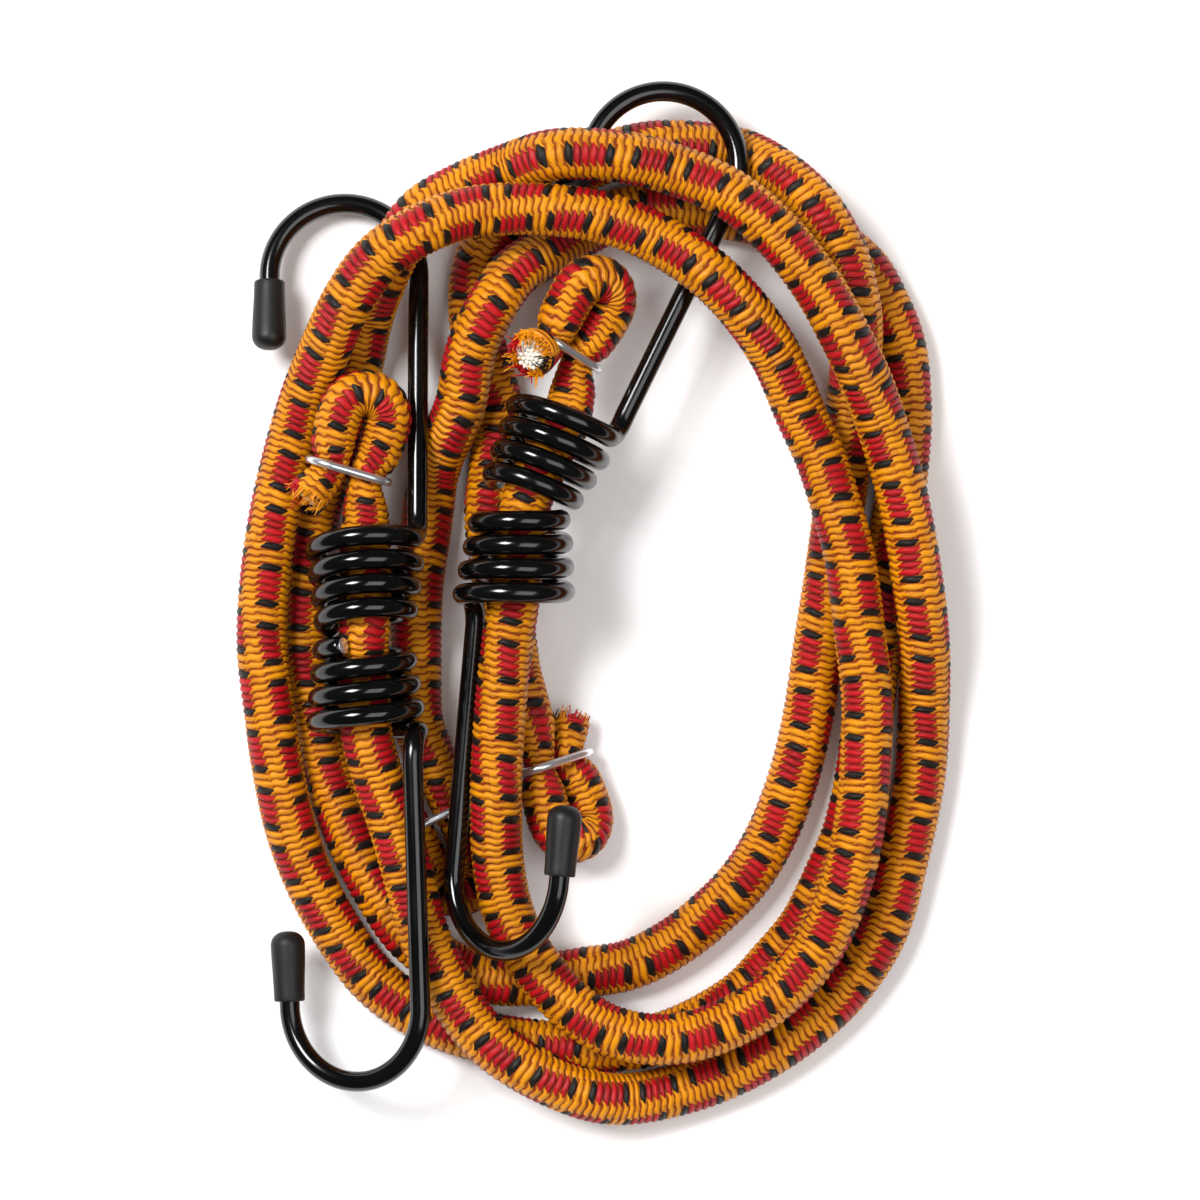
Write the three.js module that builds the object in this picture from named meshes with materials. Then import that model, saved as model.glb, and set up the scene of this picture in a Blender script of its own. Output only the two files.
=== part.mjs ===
import * as THREE from "three";

// Two elastic tie-down cords coiled together on a table, each with two wire hooks. Sizes in millimetres, +Z up.

// Cord: a braided sheath over a rubber core, lying on the table with a slightly flattened underside.
const CORD_DIAMETER = 8.0;
const SHEATH_WALL = 1.2;
const CORE_CLEARANCE = 0.3;
const CORD_SIDES = 8;
const CORE_SIDES = 6;
const STEP_TURN_DEG = 19;
const STEP_REACH = 12;
const CORE_PROUD = 0.8;

// Folded cord end: the cord turns back on itself and a steel ring pinches both legs.
const FOLD_RADIUS = 3.3;
const FOLD_LEG_OFFSET = 3.75;
const FOLD_REACH = 8.3;
const PINCH_RADIUS = 2.35;
const PINCH_LEG_OFFSET = 2.75;
const TAIL_RADIUS = 3.0;
const TAIL_OFFSET = 5.0;
const TAIL_LENGTH = 5.2;
const FOLD_STEPS = 7;

// Steel hog ring round the two pinched legs.
const RING_WIRE_DIAMETER = 1.3;
const RING_CLEARANCE = 0.4;
const RING_OPENING = 1.6;
const RING_END_STEPS = 5;
const RING_SIDES = 6;

// Wire hook: a conical coil that grips the cord, a shank, a half-round bend and a short leg.
const WIRE_DIAMETER = 3.1;
const WIRE_SIDES = 8;
const COIL_RADIUS_WIDE = 7.8;
const COIL_RADIUS_NARROW = 6.2;
const COIL_TURNS = 3.6;
const COIL_PITCH = 3.6;
const COIL_STEPS_PER_TURN = 12;
const SHANK_LENGTH = 41.0;
const SHANK_STEPS = 3;
const BEND_RADIUS = 11.3;
const BEND_STEPS = 8;
const LEG_LENGTH = 9.6;

// Moulded cap pushed over the end of the wire.
const CAP_DIAMETER = 5.2;
const CAP_LENGTH = 10.6;
const CAP_WALL_END = 1.6;
const CAP_CLEARANCE = 0.3;
const CAP_SIDES = 12;

const SELF_GAP_MIN = 0.4;
const BORE_RATIO = (CORD_DIAMETER / 2 - SHEATH_WALL) / (CORD_DIAMETER / 2);
const DEG = Math.PI / 180;

// Hand-chosen routes of the cords between their two folded ends, as x, y and height of the centreline.
const CORD_1_ROUTE = [
  [-34.5, 13, 13.5], [-34.5, 9, 13.9], [-34.5, 2.2, 15.2], [-34.6, -3, 16], [-34.8, -6.9, 15.5],
  [-34.6, -12.9, 15.2], [-34.3, -19.6, 14.8], [-32.7, -25.8, 13.4], [-30.2, -33.3, 12.4], [-28.1, -40.9, 11.9],
  [-25.7, -49.9, 11.8], [-22.2, -57.5, 11.8], [-18.8, -62.8, 11.8], [-14.7, -67.1, 11.7], [-8.2, -71.2, 10.6],
  [-0.6, -74.4, 7.8], [5.4, -75.1, 5], [14.9, -73.3, 3.2], [23.2, -69.9, 3.2], [31.1, -64.9, 3.2],
  [38.3, -58.2, 3.2], [43.7, -49.9, 3.2], [47.1, -38.3, 3.2], [49.5, -26.2, 3.5], [50.1, -14.4, 5.2],
  [49.9, -5.4, 8.3], [48.9, 3.1, 10.8], [46.5, 16.5, 12], [43.7, 26.2, 12.6], [41.2, 33.1, 15],
  [37.9, 39.9, 18.4], [33.3, 48.2, 18.8], [27.3, 55.8, 18.6], [20, 61.8, 18.8], [10.2, 65.9, 18],
  [2.4, 67.4, 18.7], [-5.8, 67.6, 17.6], [-12.4, 65.9, 13], [-19.8, 63, 11.2], [-26, 59.4, 11.2],
  [-29.3, 55, 11.2], [-31.8, 50.3, 9.8], [-34.3, 44, 5], [-36, 36.5, 3.4], [-37.8, 28.6, 3.2],
  [-40.5, 20.3, 3.2], [-43.1, 11.2, 3.2], [-44.1, 0.7, 3.2], [-44, -8.4, 3.2], [-41.9, -19, 3.2],
  [-39.8, -28, 3.2], [-36.6, -36.3, 3.2], [-32.7, -43.9, 3.2], [-28.4, -50.2, 3.2], [-22.8, -54.5, 3.2],
  [-17.3, -56.7, 3.2], [-9.7, -57.2, 3.2], [-1.4, -56, 3.2], [5.4, -54.8, 3.2], [11.7, -51.7, 3.2],
  [17.9, -46.9, 3.2], [23.2, -41.3, 3.2], [27.4, -34.1, 3.2], [30.6, -25.3, 3.2], [32.6, -16.7, 3.2],
  [33.8, -8.5, 3.2], [35, -0.8, 3.2], [36.2, 7, 3.2], [37.4, 15.8, 3.2], [38.5, 24.8, 3.5],
  [39.4, 33.9, 6], [39.8, 41.4, 9.5], [39.2, 46.3, 11.6], [37.3, 53.2, 11.8], [33.6, 59.7, 11.4],
  [28, 65.1, 8.1], [22.2, 68.5, 3.5], [17.3, 69.4, 3.2], [12.2, 69.8, 3.2], [6.9, 69.4, 3.2],
  [0.9, 67.7, 3.2], [-5.6, 64.5, 3.2], [-11.2, 60.5, 3.2], [-15.6, 55.9, 3.2], [-18, 50.2, 3.2],
  [-18.2, 42.9, 3.2], [-16.1, 35.4, 3.2], [-14.4, 28.6, 3.2], [-15.3, 20.3, 3.2], [-15.9, 13.5, 3.2],
  [-14.7, 4.4, 3.2], [-12.9, -4.2, 3.4], [-11.8, -11.1, 5.4], [-9.7, -17.2, 8.2],
];

const CORD_2_ROUTE = [
  [-3.4, 31.3, 13.9], [-4.4, 27.7, 15.2], [-7, 22.7, 16], [-9.7, 17, 17], [-10.8, 13.3, 17.4],
  [-11.4, 7.9, 17.3], [-12.1, 0.7, 16.9], [-13, -5.4, 16.3], [-13.9, -12.9, 15.8], [-14.5, -20.5, 15.3],
  [-14.8, -25.9, 15], [-14.8, -31.3, 14], [-14.7, -36.8, 12.6], [-13.6, -44.3, 11.5], [-12, -49.2, 11.5],
  [-9.4, -53.7, 11.7], [-5.2, -59, 11.8], [0.9, -63.7, 11.8], [7.7, -65.6, 11.8], [14.9, -65.2, 11.8],
  [23.2, -61.8, 11.8], [29.1, -57.5, 11.8], [34.4, -50.8, 11.8], [38.6, -40.3, 11.8], [40.3, -31.3, 11.8],
  [41, -22.9, 11.8], [41.2, -14.4, 11.8], [40.1, -4.6, 11.8], [38.6, 7, 11.8], [36.6, 14.7, 11.8],
  [34.1, 22.4, 10.8], [31.4, 28.3, 10.5], [27.3, 37.7, 13], [21.8, 45.2, 17.5], [16, 50.6, 19.6],
  [9.2, 55, 19], [2.1, 57.9, 19.1], [-5.2, 59.1, 19.3], [-13.6, 59.4, 18.8], [-20.3, 58.5, 19],
  [-26.8, 55.8, 19.8], [-32.4, 52, 19], [-36.9, 46.1, 16.8], [-40.7, 38.4, 12.6], [-43.8, 30.9, 9.8],
  [-46.3, 22.6, 9], [-48.5, 12.7, 9.6], [-49.9, 2.2, 9.3], [-50.2, -6.9, 9.2], [-49, -17.5, 8.7],
  [-48.1, -24.1, 8], [-46.1, -33.8, 6.5], [-43.2, -41.9, 5], [-39.2, -49.5, 3.6], [-34, -56.7, 3.2],
  [-28.4, -61.2, 3.2], [-21.3, -64.6, 3.2], [-13.5, -66.4, 3.2], [-5.2, -67.3, 3.2], [2.4, -67.3, 3.2],
  [9.2, -66.2, 3.2], [16, -63.5, 3.2], [22.9, -59.1, 3.2], [27.4, -54.3, 3.2], [32, -48.7, 3.2],
  [35.7, -41.3, 3.2], [38.5, -34.7, 3.2], [40.4, -26.5, 3.2], [41.6, -17.5, 3.2], [42.7, -8.4, 3.2],
  [44, 0.7, 3.2], [45.3, 8.2, 3.2], [46.5, 16.5, 3.2], [47.4, 26.2, 3.2], [47.4, 31.5, 3.2],
  [46.6, 39.2, 3.2], [44.3, 45.4, 3.2], [40.7, 51.4, 3.2], [34.8, 55.6, 3.2], [28, 57.7, 3.2],
  [22, 59, 3.2], [16, 59.9, 3.2], [9.9, 60.2, 3.2], [3.9, 59.3, 3.2], [-1.9, 56.7, 3.2],
  [-7.1, 53.5, 6.2], [-12, 50.2, 9.8], [-15.4, 45.2, 11.8], [-18.6, 38.4, 11.6], [-20.3, 30.1, 9.4],
  [-24.2, 20.9, 3.8], [-25.7, 10.8, 3.2], [-26.8, 3.1, 3.2], [-27.1, -2.7, 3.2], [-27.1, -10.4, 3.2],
  [-26.8, -18.1, 3.2], [-23.8, -25.3, 3.4],
];

// Folded ends: ring centre, direction from the ring to the loop, and direction from the tail to the standing leg.
const FOLD_1 = {
  ring: [-37, 20.1, 14.4],
  along: [0.28, 0.95, 0],
  side: [1, 0, -0.28],
};
const FOLD_2 = {
  ring: [-4.4, 38.3, 14],
  along: [0.49, 0.87, -0.05],
  side: [0.67, -0.47, -0.57],
};
const FOLD_3 = {
  ring: [-6.2, -24.1, 6.2],
  along: [0.3, -0.95, 0],
  side: [-0.76, -0.24, 0.6],
};
const FOLD_4 = {
  ring: [-24.5, -32.7, 4.1],
  along: [0.42, -0.91, 0],
  side: [0.93, 0.36, 0],
};

// Hooks: centre of the wide end of the coil, heading about Z, tilt and roll in degrees, and any extra part turn.
const HOOK_1 = { at: [-34.5, 9.7, 13.6], heading: 0, tilt: -11.5, roll: 0, extraTurn: 0 };
const HOOK_2 = { at: [-4.2, 28.2, 15.6], heading: -26, tilt: -6.2, roll: 0, extraTurn: 0 };
const HOOK_3 = { at: [-34.3, -19.6, 15.2], heading: 181.8, tilt: 0, roll: 207.6, extraTurn: 0.15 };
const HOOK_4 = { at: [-12.1, 0.4, 17.5], heading: 175, tilt: 0, roll: 45, extraTurn: 0 };

function vector(list) {
  return new THREE.Vector3(list[0], list[1], list[2]);
}

// Centreline and radius of a folded end, from the pinched standing leg round the loop to the cut end.
function foldPath(fold) {
  const centre = vector(fold.ring);
  const along = vector(fold.along).normalize();
  const side = vector(fold.side);
  side.addScaledVector(along, -side.dot(along)).normalize();
  const at = (reach, offset) => centre.clone().addScaledVector(along, reach).addScaledVector(side, offset);
  const path = [{ point: at(0, PINCH_LEG_OFFSET), radius: PINCH_RADIUS }];
  path.push({ point: at(FOLD_REACH * 0.45, FOLD_LEG_OFFSET * 0.96), radius: FOLD_RADIUS * 0.96 });
  for (let i = 0; i <= FOLD_STEPS; i += 1) {
    const angle = (i / FOLD_STEPS) * Math.PI;
    const reach = FOLD_REACH + FOLD_LEG_OFFSET * Math.sin(angle);
    path.push({ point: at(reach, FOLD_LEG_OFFSET * Math.cos(angle)), radius: FOLD_RADIUS });
  }
  path.push({ point: at(FOLD_REACH * 0.45, -FOLD_LEG_OFFSET * 0.96), radius: FOLD_RADIUS * 0.96 });
  path.push({ point: at(0, -PINCH_LEG_OFFSET), radius: PINCH_RADIUS });
  path.push({ point: at(-TAIL_LENGTH, -TAIL_OFFSET), radius: TAIL_RADIUS });
  return path;
}

// Steps along a smooth route, closer together where it turns.
function routePath(route) {
  const curve = new THREE.CatmullRomCurve3(route.map(vector), false, "centripetal");
  curve.arcLengthDivisions = 2000;
  const count = 1500;
  const path = [{ point: curve.getPointAt(0), radius: FOLD_RADIUS }];
  let lastPoint = curve.getPointAt(0);
  let lastTangent = curve.getTangentAt(0);
  for (let i = 1; i < count; i += 1) {
    const point = curve.getPointAt(i / count);
    const tangent = curve.getTangentAt(i / count);
    const turned = tangent.angleTo(lastTangent) > STEP_TURN_DEG * DEG;
    if (turned || point.distanceTo(lastPoint) > STEP_REACH) {
      path.push({ point, radius: CORD_DIAMETER / 2 });
      lastPoint = point;
      lastTangent = tangent;
    }
  }
  path.push({ point: curve.getPointAt(1), radius: FOLD_RADIUS });
  return path;
}

function cordPath(startFold, route, endFold) {
  return [...foldPath(startFold).reverse(), ...routePath(route), ...foldPath(endFold)];
}

function tangentsOf(points) {
  return points.map((point, i) => {
    const before = points[Math.max(0, i - 1)];
    const after = points[Math.min(points.length - 1, i + 1)];
    const back = point.clone().sub(before).normalize();
    const ahead = after.clone().sub(point).normalize();
    return back.add(ahead).normalize();
  });
}

// Rings of points across a path; a level frame keeps one flat of each ring facing the table.
function levelRings(points, radii, sides, floor) {
  const tangents = tangentsOf(points);
  const up = new THREE.Vector3(0, 0, 1);
  return points.map((point, i) => {
    const across = up.clone().cross(tangents[i]).normalize();
    const normal = tangents[i].clone().cross(across);
    return ringAt(point, across, normal, radii[i], sides, floor);
  });
}

// Rings whose frame is carried along the path without twist.
function carriedRings(points, radius, sides) {
  const tangents = tangentsOf(points);
  const normal = new THREE.Vector3(0, 0, 1);
  if (Math.abs(normal.dot(tangents[0])) > 0.8) {
    normal.set(1, 0, 0);
  }
  return points.map((point, i) => {
    normal.addScaledVector(tangents[i], -normal.dot(tangents[i])).normalize();
    const across = normal.clone().cross(tangents[i]).normalize();
    return ringAt(point, across, normal.clone(), radius, sides, -Infinity);
  });
}

function ringAt(point, across, normal, radius, sides, floor) {
  const ring = [];
  for (let k = 0; k < sides; k += 1) {
    const angle = ((k + 0.5) / sides) * 2 * Math.PI;
    const vertex = point.clone();
    vertex.addScaledVector(across, radius * Math.sin(angle));
    vertex.addScaledVector(normal, -radius * Math.cos(angle));
    vertex.z = Math.max(vertex.z, floor);
    ring.push(vertex);
  }
  return ring;
}

// Joins rings into one closed solid; with inner rings the solid is a hollow sleeve open at both ends.
function loft(outer, inner) {
  const sides = outer[0].length;
  const vertices = [];
  const faces = [];
  const wall = (rings, inward) => {
    const base = vertices.length;
    rings.forEach((ring) => vertices.push(...ring));
    for (let i = 0; i + 1 < rings.length; i += 1) {
      for (let k = 0; k < sides; k += 1) {
        const a = base + i * sides + k;
        const b = base + i * sides + ((k + 1) % sides);
        quad(faces, a, b, b + sides, a + sides, inward);
      }
    }
    return base;
  };
  const outerBase = wall(outer, false);
  const lastRing = (outer.length - 1) * sides;
  if (inner) {
    const innerBase = wall(inner, true);
    for (let k = 0; k < sides; k += 1) {
      const next = (k + 1) % sides;
      quad(faces, innerBase + k, innerBase + next, outerBase + next, outerBase + k, false);
      const outerEnd = outerBase + lastRing;
      const innerEnd = innerBase + lastRing;
      quad(faces, outerEnd + k, outerEnd + next, innerEnd + next, innerEnd + k, false);
    }
  } else {
    for (let k = 1; k + 1 < sides; k += 1) {
      faces.push(outerBase, outerBase + k + 1, outerBase + k);
      faces.push(outerBase + lastRing, outerBase + lastRing + k, outerBase + lastRing + k + 1);
    }
  }
  return solid(vertices, faces);
}

function quad(faces, a, b, c, d, inward) {
  if (inward) {
    faces.push(a, c, b, a, d, c);
  } else {
    faces.push(a, b, c, a, c, d);
  }
}

function solid(vertices, faces) {
  const geometry = new THREE.BufferGeometry();
  const positions = vertices.flatMap((v) => [v.x, v.y, v.z]);
  geometry.setAttribute("position", new THREE.Float32BufferAttribute(positions, 3));
  geometry.setIndex(faces);
  geometry.computeVertexNormals();
  return geometry;
}

// Least gap of a round path to itself, leaving out neighbours closer than one turn of the cord.
function selfGap(points, radii, skip) {
  let least = Infinity;
  for (let i = 0; i < points.length; i += 1) {
    let run = 0;
    for (let j = i + 1; j < points.length; j += 1) {
      run += points[j].distanceTo(points[j - 1]);
      if (run > skip) {
        least = Math.min(least, points[i].distanceTo(points[j]) - radii[i] - radii[j]);
      }
    }
  }
  return least;
}

function reportGap(name, gap) {
  console.log(`${name}: least gap to itself ${gap.toFixed(2)} mm, allowed ${SELF_GAP_MIN} mm`);
}

// Centreline of a hook in its own frame: coil axis on Y with the bend towards +Y, shank on the +X side.
function hookPoints(turns) {
  const points = [];
  const coilSteps = Math.round(turns * COIL_STEPS_PER_TURN);
  for (let i = coilSteps; i >= 0; i -= 1) {
    const share = i / coilSteps;
    const angle = share * turns * 2 * Math.PI;
    const radius = THREE.MathUtils.lerp(COIL_RADIUS_WIDE, COIL_RADIUS_NARROW, share);
    const y = -COIL_PITCH * turns * share;
    points.push(new THREE.Vector3(radius * Math.cos(angle), y, radius * Math.sin(angle)));
  }
  for (let i = 1; i <= SHANK_STEPS; i += 1) {
    const share = i / SHANK_STEPS;
    const y = WIRE_DIAMETER + (SHANK_LENGTH - WIRE_DIAMETER) * share ** 2;
    points.push(new THREE.Vector3(COIL_RADIUS_WIDE, y, 0));
  }
  for (let i = 1; i <= BEND_STEPS; i += 1) {
    const angle = (i / BEND_STEPS) * Math.PI;
    const x = COIL_RADIUS_WIDE - BEND_RADIUS + BEND_RADIUS * Math.cos(angle);
    points.push(new THREE.Vector3(x, SHANK_LENGTH + BEND_RADIUS * Math.sin(angle), 0));
  }
  points.push(new THREE.Vector3(COIL_RADIUS_WIDE - 2 * BEND_RADIUS, SHANK_LENGTH - LEG_LENGTH, 0));
  return points;
}

// Cap as a closed turned profile, mouth at its own origin and rounded end along +Y.
function capGeometry() {
  const bore = WIRE_DIAMETER / 2 + CAP_CLEARANCE;
  const outer = CAP_DIAMETER / 2;
  const depth = CAP_LENGTH - CAP_WALL_END;
  const profile = [
    [0, depth],
    [bore, depth],
    [bore, 0],
    [outer * 0.94, 0],
    [outer, 0.6],
    [outer, CAP_LENGTH - outer * 0.8],
    [outer * 0.8, CAP_LENGTH - outer * 0.3],
    [outer * 0.4, CAP_LENGTH - outer * 0.04],
    [0, CAP_LENGTH],
  ];
  return new THREE.LatheGeometry(profile.map(([r, y]) => new THREE.Vector2(r, y)), CAP_SIDES);
}

// Open oval of wire that closes round both legs, in the plane across the fold.
function ringPoints(fold) {
  const along = vector(fold.along).normalize();
  const side = vector(fold.side);
  side.addScaledVector(along, -side.dot(along)).normalize();
  const normal = side.clone().cross(along);
  if (normal.z > 0) {
    normal.negate();
  }
  const radius = PINCH_RADIUS + RING_CLEARANCE + RING_WIRE_DIAMETER / 2;
  const half = PINCH_LEG_OFFSET;
  const centre = vector(fold.ring);
  const at = (across, down) => centre.clone().addScaledVector(side, across).addScaledVector(normal, down);
  const points = [at(RING_OPENING / 2, radius)];
  for (let i = 0; i <= RING_END_STEPS; i += 1) {
    const angle = (i / RING_END_STEPS) * Math.PI;
    points.push(at(half + radius * Math.sin(angle), radius * Math.cos(angle)));
  }
  for (let i = 0; i <= RING_END_STEPS; i += 1) {
    const angle = (i / RING_END_STEPS) * Math.PI;
    points.push(at(-half - radius * Math.sin(angle), -radius * Math.cos(angle)));
  }
  points.push(at(-RING_OPENING / 2, radius));
  return points;
}

const BRAID = { color: 0xd9902a, roughness: 0.85, metalness: 0.0 };
const RUBBER = { color: 0xe9e2d6, roughness: 0.7, metalness: 0.0 };
const STEEL = { color: 0xc4c6c8, roughness: 0.28, metalness: 1.0 };
const COATED_WIRE = { color: 0x141414, roughness: 0.22, metalness: 0.0 };
const CAP_VINYL = { color: 0x191919, roughness: 0.6, metalness: 0.0 };

function mesh(name, geometry, finish) {
  const part = new THREE.Mesh(geometry, new THREE.MeshStandardMaterial(finish));
  part.name = name;
  return part;
}

const model = new THREE.Group();
model.name = "bungee_cord_pair";

function addCord(name, startFold, route, endFold) {
  const path = cordPath(startFold, route, endFold);
  const points = path.map((step) => step.point);
  const radii = path.map((step) => step.radius);
  const bores = radii.map((radius) => radius * BORE_RATIO);
  const skin = levelRings(points, radii, CORD_SIDES, 0);
  const sheath = loft(skin, levelRings(points, bores, CORD_SIDES, -Infinity));
  model.add(mesh(`${name}_sheath`, sheath, BRAID));
  const coreEnds = points.map((point) => point.clone());
  const last = points.length - 1;
  coreEnds[0].addScaledVector(points[0].clone().sub(points[1]).normalize(), CORE_PROUD);
  coreEnds[last].addScaledVector(points[last].clone().sub(points[last - 1]).normalize(), CORE_PROUD);
  const coreRadii = bores.map((radius) => radius - CORE_CLEARANCE);
  const core = loft(levelRings(coreEnds, coreRadii, CORE_SIDES, -Infinity));
  model.add(mesh(`${name}_core`, core, RUBBER));
  reportGap(name, selfGap(points, radii, 4 * CORD_DIAMETER));
  let length = 0;
  for (let i = 1; i < points.length; i += 1) {
    length += points[i].distanceTo(points[i - 1]);
  }
  console.log(`${name}: ${points.length} steps, length ${length.toFixed(0)} mm`);
}

function addRing(name, fold) {
  const rings = carriedRings(ringPoints(fold), RING_WIRE_DIAMETER / 2, RING_SIDES);
  model.add(mesh(name, loft(rings), STEEL));
}

function addHook(number, hook) {
  const group = new THREE.Group();
  group.position.set(...hook.at);
  group.rotation.set(hook.tilt * DEG, hook.roll * DEG, hook.heading * DEG, "ZXY");
  const points = hookPoints(COIL_TURNS + hook.extraTurn);
  const wire = loft(carriedRings(points, WIRE_DIAMETER / 2, WIRE_SIDES));
  group.add(mesh(`hook_${number}`, wire, COATED_WIRE));
  const cap = mesh(`tip_cap_${number}`, capGeometry(), CAP_VINYL);
  const mouth = SHANK_LENGTH - LEG_LENGTH + CAP_LENGTH - CAP_WALL_END - CAP_CLEARANCE;
  cap.position.set(COIL_RADIUS_WIDE - 2 * BEND_RADIUS, mouth, 0);
  cap.rotation.z = Math.PI;
  group.add(cap);
  model.add(group);
}

addCord("cord_1", FOLD_1, CORD_1_ROUTE, FOLD_3);
addCord("cord_2", FOLD_2, CORD_2_ROUTE, FOLD_4);
addRing("ring_1", FOLD_1);
addRing("ring_2", FOLD_2);
addRing("ring_3", FOLD_3);
addRing("ring_4", FOLD_4);
addHook(1, HOOK_1);
addHook(2, HOOK_2);
addHook(3, HOOK_3);
addHook(4, HOOK_4);
const coil = hookPoints(COIL_TURNS).slice(0, Math.round(COIL_TURNS * COIL_STEPS_PER_TURN) + 1);
const coilRadii = coil.map(() => WIRE_DIAMETER / 2);
reportGap("hook coil", selfGap(coil, coilRadii, 4 * COIL_RADIUS_NARROW));

export default model;
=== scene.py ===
"""Two elastic tie-down cords coiled together on a table, each with two wire hooks. Metres, +Z up."""

import logging
import math
from dataclasses import dataclass, field
from enum import IntEnum

import bpy
import numpy as np
from mathutils import Matrix, Vector


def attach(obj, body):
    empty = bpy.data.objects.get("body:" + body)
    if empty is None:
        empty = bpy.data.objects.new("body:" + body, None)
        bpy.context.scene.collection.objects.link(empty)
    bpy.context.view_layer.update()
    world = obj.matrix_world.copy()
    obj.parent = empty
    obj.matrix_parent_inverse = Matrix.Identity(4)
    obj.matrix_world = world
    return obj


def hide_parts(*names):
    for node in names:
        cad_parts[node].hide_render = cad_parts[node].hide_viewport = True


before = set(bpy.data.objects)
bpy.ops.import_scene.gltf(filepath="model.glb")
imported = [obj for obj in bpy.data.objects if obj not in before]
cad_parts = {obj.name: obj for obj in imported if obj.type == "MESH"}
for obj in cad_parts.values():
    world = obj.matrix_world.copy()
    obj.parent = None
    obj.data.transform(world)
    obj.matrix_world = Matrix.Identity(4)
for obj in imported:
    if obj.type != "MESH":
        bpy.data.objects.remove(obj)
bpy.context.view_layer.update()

logging.basicConfig(level=logging.INFO, format="%(message)s")
log = logging.getLogger("bungee_cords")

# Units, directions and values that several classes share.
MM = 0.001
TURN = 2 * math.pi
UP = np.array([0.0, 0.0, 1.0])
SIDEWAYS = np.array([1.0, 0.0, 0.0])
STEEP = 0.8
UV_MAP = "braid_map"
THINNEST_LENS = 0.001
TAPER_POWER = 3.0
GRAIN_DETAIL = 4.0
CLOUD_DETAIL = 2.0
CLOUD_RANGE = (0.3, 0.7)
CLOUD_SCALE = 0.08

Triple = tuple[float, float, float]
Colour = tuple[float, float, float, float]
Span = tuple[float, float]
Socket = bpy.types.NodeSocket

# Routes of the cords between their folded ends: x, y and height of the centreline in millimetres.
CORD_1_ROUTE: tuple[Triple, ...] = (
    (-34.5, 13, 13.5), (-34.5, 9, 13.9), (-34.5, 2.2, 15.2), (-34.6, -3, 16),
    (-34.8, -6.9, 15.5), (-34.6, -12.9, 15.2), (-34.3, -19.6, 14.8), (-32.7, -25.8, 13.4),
    (-30.2, -33.3, 12.4), (-28.1, -40.9, 11.9), (-25.7, -49.9, 11.8), (-22.2, -57.5, 11.8),
    (-18.8, -62.8, 11.8), (-14.7, -67.1, 11.7), (-8.2, -71.2, 10.6), (-0.6, -74.4, 7.8),
    (5.4, -75.1, 5), (14.9, -73.3, 3.2), (23.2, -69.9, 3.2), (31.1, -64.9, 3.2),
    (38.3, -58.2, 3.2), (43.7, -49.9, 3.2), (47.1, -38.3, 3.2), (49.5, -26.2, 3.5),
    (50.1, -14.4, 5.2), (49.9, -5.4, 8.3), (48.9, 3.1, 10.8), (46.5, 16.5, 12),
    (43.7, 26.2, 12.6), (41.2, 33.1, 15), (37.9, 39.9, 18.4), (33.3, 48.2, 18.8),
    (27.3, 55.8, 18.6), (20, 61.8, 18.8), (10.2, 65.9, 18), (2.4, 67.4, 18.7),
    (-5.8, 67.6, 17.6), (-12.4, 65.9, 13), (-19.8, 63, 11.2), (-26, 59.4, 11.2),
    (-29.3, 55, 11.2), (-31.8, 50.3, 9.8), (-34.3, 44, 5), (-36, 36.5, 3.4),
    (-37.8, 28.6, 3.2), (-40.5, 20.3, 3.2), (-43.1, 11.2, 3.2), (-44.1, 0.7, 3.2),
    (-44, -8.4, 3.2), (-41.9, -19, 3.2), (-39.8, -28, 3.2), (-36.6, -36.3, 3.2),
    (-32.7, -43.9, 3.2), (-28.4, -50.2, 3.2), (-22.8, -54.5, 3.2), (-17.3, -56.7, 3.2),
    (-9.7, -57.2, 3.2), (-1.4, -56, 3.2), (5.4, -54.8, 3.2), (11.7, -51.7, 3.2),
    (17.9, -46.9, 3.2), (23.2, -41.3, 3.2), (27.4, -34.1, 3.2), (30.6, -25.3, 3.2),
    (32.6, -16.7, 3.2), (33.8, -8.5, 3.2), (35, -0.8, 3.2), (36.2, 7, 3.2),
    (37.4, 15.8, 3.2), (38.5, 24.8, 3.5), (39.4, 33.9, 6), (39.8, 41.4, 9.5),
    (39.2, 46.3, 11.6), (37.3, 53.2, 11.8), (33.6, 59.7, 11.4), (28, 65.1, 8.1),
    (22.2, 68.5, 3.5), (17.3, 69.4, 3.2), (12.2, 69.8, 3.2), (6.9, 69.4, 3.2),
    (0.9, 67.7, 3.2), (-5.6, 64.5, 3.2), (-11.2, 60.5, 3.2), (-15.6, 55.9, 3.2),
    (-18, 50.2, 3.2), (-18.2, 42.9, 3.2), (-16.1, 35.4, 3.2), (-14.4, 28.6, 3.2),
    (-15.3, 20.3, 3.2), (-15.9, 13.5, 3.2), (-14.7, 4.4, 3.2), (-12.9, -4.2, 3.4),
    (-11.8, -11.1, 5.4), (-9.7, -17.2, 8.2),
)

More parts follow.
